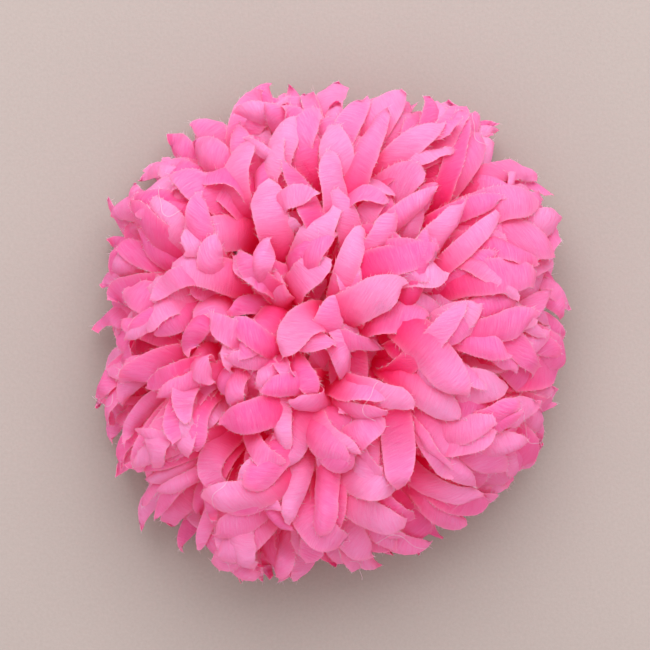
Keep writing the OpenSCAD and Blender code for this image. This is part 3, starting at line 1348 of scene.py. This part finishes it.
@dataclass(frozen=True)
class LooseThread:
    """A long frayed thread that hangs from one tuft's petals. Millimetres and degrees."""

    tuft: str
    petal: int
    length: float
    heading: float
    bend: float

    def path(self, petals: list[Petal], top: LyingMap) -> Array:
        """The thread's line over the petals.

        Args:
            petals: The tuft's petals, laid in place.
            top: The height of the bloom everywhere.

        Returns:
            Points from the petal's edge to the thread's end.
        """
        start = petals[self.petal % len(petals)].points[-3, 0]
        steps = np.linspace(0, 1, 22)
        aim = math.radians(self.heading) + math.radians(self.bend) * steps + 0.5 * np.sin(steps * 9.0)
        stride = self.length / len(steps)
        plan = start[:2] + np.cumsum(np.stack([np.cos(aim), np.sin(aim)], axis=1) * stride, axis=0)
        floor = top.over(plan) + 0.35
        kernel = np.hanning(9)[1:-1]
        smoothed = np.convolve(np.pad(floor, 3, mode="edge"), kernel / kernel.sum(), "valid")
        height = np.maximum(floor, smoothed) + 0.8 * np.sin(steps * 7.0) ** 2
        return eased(np.column_stack([plan, height]), 40)


LOOSE = (
    LooseThread("outer_tuft_6", 3, 13.0, 230.0, 150.0), LooseThread("outer_tuft_7", 5, 11.0, 265.0, -150.0),
    LooseThread("middle_tuft_8", 2, 20.0, 20.0, -70.0), LooseThread("middle_tuft_7", 4, 15.0, 95.0, -60.0),
    LooseThread("outer_tuft_12", 6, 12.0, 250.0, 90.0), LooseThread("outer_tuft_10", 7, 10.0, -20.0, -90.0),
    LooseThread("middle_tuft_2", 5, 12.0, 240.0, 90.0), LooseThread("upper_tuft_5", 6, 14.0, 200.0, 120.0),
)


class Bloom:
    """All the petals of the corsage, a piece for each tuft."""

    COUNTS = {Ring.CROWN: 1, Ring.UPPER: 6, Ring.MIDDLE: 10, Ring.OUTER: 12}
    LOWER = 6.0
    LOOSE_THREAD = Strand(0.05, 5)

    def __init__(self) -> None:
        """Reads the tufts from the frame and sets up the dome."""
        self.rng = np.random.default_rng(SEED)
        middle = np.array([0.0, 0.0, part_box("foundation_cap")[0][2] / MM])
        self.tufts = [TuftPlace.of(self._node(ring, k), ring, middle)
                      for ring, count in self.COUNTS.items() for k in range(count)]
        ends = np.array([t.root + t.axis * t.reach for t in self.tufts if t.ring is Ring.OUTER])
        top = float(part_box("crown_tuft")[1][2]) / MM
        self.dome = Dome(ends, top - self.LOWER)
        self.grid = PetalGrid()
        self.cloth = ChiffonFinish().material()
        self.threads = FrayFinish().material()

    @classmethod
    def _node(cls, ring: Ring, k: int) -> str:
        """The CAD node's name of a ring's tuft."""
        return f"{ring.value}_tuft" + ("" if cls.COUNTS[ring] == 1 else f"_{k + 1}")

    def build(self) -> None:
        """Shapes every petal, lays them and makes the pieces."""
        maker = PetalMaker(self.dome, Flow(), self.rng)
        petals = {t.node: maker.petals(t, self.grid) for t in self.tufts}
        everything = sorted((p for ps in petals.values() for p in ps), key=Petal.height)
        table = LyingMap()
        for petal in everything:
            petal.points = petal.drawn(self.grid)
            table.lay(petal, self.grid)
        LOG.info("laid %d petals, highest %.1f mm", len(everything), table.height.max())
        for tuft in self.tufts:
            self._make(tuft, petals[tuft.node], table)

    def _make(self, tuft: TuftPlace, petals: list[Petal], table: LyingMap) -> None:
        """Makes one tuft's petals and fray as two pieces.

        Args:
            tuft: The tuft's place.
            petals: Its petals, laid in place.
            table: The height of the bloom everywhere.
        """
        stem = tuft.node.replace("tuft", "petals")
        cloth = self._cloth(stem, petals)
        loose = [t.path(petals, table) for t in LOOSE if t.tuft == tuft.node]
        fray = self._fray(stem.replace("petals", "fray"), petals, loose)
        for piece in (cloth, fray):
            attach(piece, "bloom")
        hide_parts(tuft.node)
        area = sum(p.cut.area() for p in petals) * MM * MM
        LOG.info("%s: %d petals and their fray, %d loose threads", stem, len(petals), len(loose))

    def _cloth(self, name: str, petals: list[Petal]) -> bpy.types.Object:
        """Joins petals into one mesh of thin shells with UVs and attributes.

        Args:
            name: The piece's name.
            petals: The tuft's petals, laid in place.

        Returns:
            The piece.
        """
        grid, n = self.grid, (self.grid.ROWS + 1) * (self.grid.COLS + 1)
        verts, faces, uvs, tones = [], [], [], []
        for i, petal in enumerate(petals):
            p = petal.points
            normal = unit(np.cross(np.gradient(p, axis=1), np.gradient(p, axis=0)))
            half = normal * grid.THICK / 2
            verts += [(p - half).reshape(-1, 3), (p + half).reshape(-1, 3)]
            faces += [tuple(v + 2 * n * i for v in f) for f in grid.faces]
            across = petal.cut.across(grid.s, grid.u)
            along = np.broadcast_to(grid.s[:, None] * petal.cut.length, across.shape)
            c, s = math.cos(petal.cut.grain), math.sin(petal.cut.grain)
            shift = 37.0 * (i + 1) + 113.0 * petal.tone
            uv = np.stack([c * across - s * along + shift, s * across + c * along + shift], axis=-1)
            uvs += [uv.reshape(-1, 2)] * 2
            tones += [np.full(2 * n, petal.tone)]
        obj = new_object(name, np.concatenate(verts), faces, self.cloth)
        self._dress(obj, np.concatenate(uvs), np.concatenate(tones), len(petals))
        return obj

    def _dress(self, obj: bpy.types.Object, uvs: Array, tones: Array, count: int) -> None:
        """Writes a cloth piece's UV map and its edge, tone and tip attributes.

        Args:
            obj: The piece.
            uvs: UV of each vertex, in millimetres.
            tones: Tone of each vertex.
            count: How many petals it holds.
        """
        mesh, grid = obj.data, self.grid
        write_uv(obj, uvs)
        inside = np.minimum(1.0 - np.abs(grid.u)[None, :], (1.0 - grid.s)[:, None] * 4.0) * 3.0
        inside = np.tile(np.clip(inside, 0, 1).ravel(), 2 * count)
        tip = np.tile(np.repeat(grid.s, grid.COLS + 1), 2 * count)
        for name, values in (("edge", inside), ("tone", tones), ("tip", tip)):
            attribute = mesh.attributes.new(name, "FLOAT", "POINT")
            attribute.data.foreach_set("value", values.astype(np.float32))
        self._sharpen_rim(mesh)

    def _sharpen_rim(self, mesh: bpy.types.Mesh) -> None:
        """Marks the edges round each petal's rim sharp, so that the faces shade flat to the cut.

        Args:
            mesh: A cloth piece's mesh.
        """
        n = (self.grid.ROWS + 1) * (self.grid.COLS + 1)
        on_rim = np.zeros(n, bool)
        on_rim[self.grid.rim] = True
        ends = np.zeros(len(mesh.edges) * 2, int)
        mesh.edges.foreach_get("vertices", ends)
        ends = ends.reshape(-1, 2)
        layer = ends // n
        sharp = on_rim[ends[:, 0] % n] & on_rim[ends[:, 1] % n] & (layer[:, 0] == layer[:, 1])
        attribute = mesh.attributes.new("sharp_edge", "BOOLEAN", "EDGE")
        attribute.data.foreach_set("value", sharp)

    def _fray(self, name: str, petals: list[Petal], loose: list[Array]) -> bpy.types.Object:
        """Joins the fray of a tuft's petals into one mesh.

        Args:
            name: The piece's name.
            petals: The tuft's petals.
            loose: Paths of its long loose threads.

        Returns:
            The fray.
        """
        maker = FrayMaker()
        hairs = np.concatenate([maker.hairs(p, self.grid, self.rng) for p in petals])
        hairs[..., 2] = np.maximum(hairs[..., 2], 0.05)
        corners = np.array([(0, 1, 3), (1, 2, 3), (2, 0, 3), (0, 2, 1)])
        faces = (4 * np.arange(len(hairs))[:, None, None] + corners).reshape(-1, 3).tolist()
        verts = [hairs.reshape(-1, 3)]
        first = len(verts[0])
        for path in loose:
            v, f, _ = self.LOOSE_THREAD.swept(path)
            faces += [[first + i for i in face] for face in f]
            verts.append(v)
            first += len(v)
        return new_object(name, np.concatenate(verts), faces, self.threads)


# ---------------------------------------------------------------- thread work


@dataclass
class ThreadWork:
    """The wound bindings of the tufts and the stitches of the backing. Millimetres.

    FELT_STITCH runs round the felt's edge, and PAD_TACK through a hole of the pad, as distance
    from the middle, place to the side where there is one, and height.
    """

    FELT_STITCH = ((22.0, 0, 12.3), (22.1, 0, 11.72), (23.1, 0.1, 11.5), (24.2, 0.25, 11.6),
                   (24.86, 0.4, 12.3), (24.8, 0.5, 13.1), (24.35, 0.6, 13.9), (23.6, 0.7, 14.15))
    PAD_TACK = ((16.5, 12.3), (16.45, 11.3), (16.75, 10.72), (17.7, 10.62),
                (18.8, 10.68), (19.4, 11.0), (19.45, 12.2))
    TWIN = 0.27
    thread: float = 0.17
    felt_thread: float = 0.26
    pad_thread: float = 0.24
    neck: float = 2.2
    bind_from: float = 4.4
    bind_to: float = 5.6
    windings: int = 4
    stitches: int = 36
    pad_angles: tuple[int, ...] = (0, 55, 90, 125, 180, 235, 270, 305)

    def build(self, tufts: Sequence[TuftPlace]) -> None:
        """Makes the three pieces of thread work.

        Args:
            tufts: The tufts to bind.
        """
        finish = ThreadFinish().material()
        rng = np.random.default_rng(SEED + 1)
        bindings = [self._binding(t, rng) for t in tufts]
        edges = [self._edge(i, rng) for i in range(self.stitches)]
        tacks = [p for angle in self.pad_angles for p in self._tack(angle, rng)]
        work = (("tuft_bindings", "wound_bindings", Strand(self.thread, 5), bindings),
                ("edge_stitching", "felt_stitches", Strand(self.felt_thread), edges),
                ("pad_stitches", "pad_tacks", Strand(self.pad_thread), tacks))
        for node, name, strand, paths in work:
            piece = strand.piece(name, paths, finish)
            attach(piece, "bloom")
            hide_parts(node)
            LOG.info("%s: %d strands", name, len(paths))

    def _binding(self, tuft: TuftPlace, rng: np.random.Generator) -> Array:
        """The thread wound round one tuft's neck, with a short tail.

        Args:
            tuft: The tuft.
            rng: The random source.

        Returns:
            The thread's path.
        """
        side = unit(np.cross(tuft.axis, (0.2, 0.3, 0.93)))
        up = np.cross(tuft.axis, side)
        steps = self.windings * 14
        turn = np.linspace(0, self.windings * 2 * math.pi, steps) + rng.uniform(0, 6.28)
        out = self.neck + self.thread + 0.12 * np.sin(turn * 0.37 + 1.0) ** 2
        along = np.linspace(self.bind_from + self.thread, self.bind_to - self.thread, steps)
        coil = (tuft.root + along[:, None] * tuft.axis
                + (out * np.cos(turn))[:, None] * side + (out * np.sin(turn))[:, None] * up)
        leave = unit(coil[-1] - coil[-2])
        away = unit(coil[-1] - tuft.root - along[-1] * tuft.axis)
        tail = [coil[-1] + leave * d + away * 0.1 * d * d for d in (0.6, 1.2, 1.9)]
        return np.vstack([coil, tail])

    def _edge(self, index: int, rng: np.random.Generator) -> Array:
        """One overcast stitch round the felt's edge.

        Args:
            index: Its number round the felt.
            rng: The random source.

        Returns:
            The thread's path.
        """
        slip = rng.uniform(-0.35, 0.35)
        path = eased([(r, y + slip, z) for r, y, z in self.FELT_STITCH], 18)
        return turned(path, (index + 0.5 + rng.uniform(-0.12, 0.12)) * 2 * math.pi / self.stitches)

    def _tack(self, degrees: int, rng: np.random.Generator) -> list[Array]:
        """The double thread that holds the pad through one of its holes.

        Args:
            degrees: Where the hole is round the pad.
            rng: The random source.

        Returns:
            The paths of its two strands.
        """
        paths = []
        for y in (-self.TWIN, self.TWIN):
            path = eased([(r, y + rng.uniform(-0.06, 0.06), z) for r, z in self.PAD_TACK], 16)
            paths.append(turned(path, math.radians(degrees)))
        return paths


# ---------------------------------------------------------------- foundation


@dataclass
class Foundation:
    """The stiff cap, its wadding and the felt behind it. Millimetres."""

    rim: float = 24.0
    ball: float = 33.8
    ball_z: float = -10.5
    base: float = 13.3
    wall: float = 1.2
    felt_r: float = 24.5
    felt_z: float = 11.8
    segments: int = 96

    def build(self) -> None:
        """Makes the cap, the wadding and the felt."""
        cap = self._cap()
        core = self._core()
        felt = self._felt()
        pieces = ((cap, "foundation_cap", "buckram"), (core, "wadding_core", "wadding"),
                  (felt, "felt_backing", "felt"))
        for piece, node, slot in pieces:
            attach(piece, "bloom")
            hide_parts(node)
            LOG.info("%s: %d faces", piece.name, len(piece.data.polygons))

    def _turned_profile(self, name: str, profile: Sequence[tuple[float, float]], rough: float,
                        finish: bpy.types.Material) -> bpy.types.Object:
        """Turns a closed profile about +Z, with a little unevenness.

        Args:
            name: The piece's name.
            profile: Radius and height of each point, from pole to pole.
            rough: How far the surface wanders, in mm.
            finish: Its material.

        Returns:
            The closed solid.
        """
        rng = np.random.default_rng(SEED + len(name))
        turn = np.arange(self.segments) * 2 * math.pi / self.segments
        rings = np.array(profile[1:-1])
        r = rings[:, :1]
        waves = sum(rng.normal(0, 0.5) * np.sin(k * turn[None, :] + 0.7 * k * r + rng.uniform(0, 6))
                    for k in range(2, 9))
        z = rings[:, 1:] + rough * waves * 0.3
        body = np.stack([r * np.cos(turn), r * np.sin(turn), z], axis=-1).reshape(-1, 3)
        ends = np.array([[0, 0, profile[0][1]], [0, 0, profile[-1][1]]])
        faces = tube_faces(len(rings), self.segments, flip=True)
        return new_object(name, np.concatenate([body, ends]), faces, finish)

    def _on_ball(self, r: float, ball: float) -> float:
        """Height of the ball of that radius, at a distance r from the middle."""
        return self.ball_z + math.sqrt(max(ball * ball - r * r, 0.0))

    def _cap(self) -> bpy.types.Object:
        """The domed cap with a rounded rim.

        Returns:
            The piece.
        """
        inner = self.ball - self.wall
        inner_rim = math.sqrt(inner ** 2 - (self.base - self.ball_z) ** 2)
        top = [(r, self._on_ball(r, self.ball)) for r in np.linspace(0, self.rim - 0.5, 18)]
        rim = [(self.rim, self.base + 0.35), (self.rim - 0.2, self.base + 0.06)]
        under = [(r, self._on_ball(r, inner)) for r in np.linspace(inner_rim, 0, 18)]
        return self._turned_profile("buckram_cap", top + rim + under, 0.02, BuckramFinish().material())

    def _core(self) -> bpy.types.Object:
        """The lump of wadding in the cap.

        Returns:
            The piece.
        """
        ball, low = self.ball - self.wall - 0.45, self.base + 0.3
        edge = math.sqrt(ball ** 2 - (low + 0.8 - self.ball_z) ** 2)
        top = [(r, self._on_ball(r, ball)) for r in np.linspace(0, edge, 16)]
        under = [(r, low) for r in np.linspace(edge - 0.7, 0, 12)]
        return self._turned_profile("wadding_lump", top + under, 0.12, WaddingFinish().material())

    def _felt(self) -> bpy.types.Object:
        """The disc of felt with a soft cut edge.

        Returns:
            The piece.
        """
        z0, z1, r = self.felt_z, self.base, self.felt_r
        top = [(x, z1 - 0.02) for x in np.linspace(0, r - 0.5, 12)]
        edge = [(r - 0.12, z1 - 0.2), (r, z1 - 0.55), (r - 0.02, z0 + 0.5), (r - 0.15, z0 + 0.15)]
        under = [(x, z0 + 0.02) for x in np.linspace(r - 0.5, 0, 12)]
        return self._turned_profile("felt_disc", top + edge + under, 0.02, FeltFinish().material())


# ---------------------------------------------------------------- pin and clip


@dataclass
class Fastenings:
    """The plated pad, brooch pin and beak clip. Millimetres."""

    plated: tuple[str, ...] = ("pad_disc", "pin_bar", "clip_upper_arm", "clip_lower_arm")
    bright: tuple[str, ...] = ("pad_rivets", "hinge_rivet", "clip_axle", "catch_lock", "needle")
    axle: tuple[float, float, float] = (-3.0, -8.0, 7.5)
    coil_r: float = 1.25
    coil_w: float = 4.0
    turns: float = 4.5
    wire: float = 0.3
    leg: float = 8.4
    leg_ends: tuple[float, float] = (2.44, -3.748)
    steel: PlatedFinish = PlatedFinish("tempered_wire", (0.56, 0.54, 0.51), (0.36, 0.33, 0.30), 0.26)

    def build(self) -> None:
        """Finishes the metal parts and winds the spring."""
        tumbled, polished = PlatedFinish(), PlatedFinish("bright_nickel", roughness=0.12)
        for names, finish in ((self.plated, tumbled), (self.bright, polished)):
            material = finish.material()
            for name in names:
                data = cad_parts[name].data
                data.materials.clear()
                data.materials.append(material)
                LOG.info("%s: %s", name, finish.name)
        spring = self._spring()
        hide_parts("clip_spring")
        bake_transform(spring)
        LOG.info("%s: %.1f turns", spring.name, self.turns)

    def _spring(self) -> bpy.types.Object:
        """The coil round the axle, with a leg on each lever.

        Returns:
            The piece.
        """
        steps = int(self.turns * 26)
        turn = math.pi / 2 - np.linspace(0, self.turns * 2 * math.pi, steps)
        coil = np.stack([self.coil_r * np.cos(turn), self.coil_w * np.linspace(-0.5, 0.5, steps),
                         self.coil_r * np.sin(turn)], axis=1)
        first = np.array([-self.leg, -self.coil_w / 2, self.leg_ends[0]])
        last = np.array([-self.leg, self.coil_w / 2, self.leg_ends[1]])
        path = np.vstack([[first, 0.5 * (first + coil[0])], coil, [0.5 * (last + coil[-1]), last]])
        path = path + np.array(self.axle)
        return Strand(self.wire, 8).piece("wound_spring", [path], self.steel.material())


# ---------------------------------------------------------------- studio


@dataclass
class Studio:
    """Floor, soft light and a camera straight above the object. Metres and watts."""

    view_width: float = 0.1786
    camera_height: float = 0.95
    sensor_mm: float = 36.0
    aim: tuple[float, float, float] = (-0.0019, 0.0019, 0.018)
    floor_size: float = 4.0
    key_place: tuple[float, float, float] = (0.05, 0.74, 0.82)
    key_size: float = 1.2
    key_power: float = 16.2
    sky_colour: Colour = (1.0, 0.962, 0.925)
    sky_strength: float = 1.17

    def build(self) -> None:
        """Makes the floor, the key light, the sky and the camera."""
        self._floor()
        self._key()
        self._sky()
        self._camera()
        bpy.context.scene.view_settings.view_transform = "Standard"

    def _floor(self) -> None:
        """Lays the paper."""
        bpy.ops.object.select_all(action="DESELECT")
        bpy.ops.mesh.primitive_plane_add(size=self.floor_size, location=(0, 0, 0))
        floor = bpy.context.object
        floor.name = "paper_floor"
        floor.data.materials.append(PaperFinish().material())

    def _key(self) -> None:
        """Hangs one large soft square light beyond the top of the view, facing the object."""
        data = bpy.data.lights.new("key", "AREA")
        data.size, data.energy, data.color = self.key_size, self.key_power, (1.0, 1.0, 1.0)
        lamp = bpy.data.objects.new("key", data)
        lamp.location = Vector(self.key_place)
        lamp.rotation_euler = (-lamp.location).to_track_quat("-Z", "Y").to_euler()
        bpy.context.scene.collection.objects.link(lamp)

    def _sky(self) -> None:
        """Lights the object evenly from all round."""
        world = bpy.data.worlds.new("even_sky")
        world.use_nodes = True
        background = world.node_tree.nodes["Background"]
        background.inputs["Color"].default_value = (*self.sky_colour, 1.0)
        background.inputs["Strength"].default_value = self.sky_strength
        bpy.context.scene.world = world

    def _camera(self) -> None:
        """Puts the camera straight above, with +Y up in the picture."""
        data = bpy.data.cameras.new("camera")
        data.sensor_width = self.sensor_mm
        distance = self.camera_height - self.aim[2]
        data.lens = self.sensor_mm * distance / self.view_width
        camera = bpy.data.objects.new("camera", data)
        camera.location = (self.aim[0], self.aim[1], self.camera_height)
        bpy.context.scene.collection.objects.link(camera)
        bpy.context.scene.camera = camera


def main() -> None:
    """Builds the corsage and its surroundings in order."""
    logging.basicConfig(level=logging.INFO, format="%(name)s: %(message)s")
    Studio().build()
    Foundation().build()
    Fastenings().build()
    bloom = Bloom()
    bloom.build()
    ThreadWork().build(bloom.tufts)


if __name__ == "__main__":
    main()
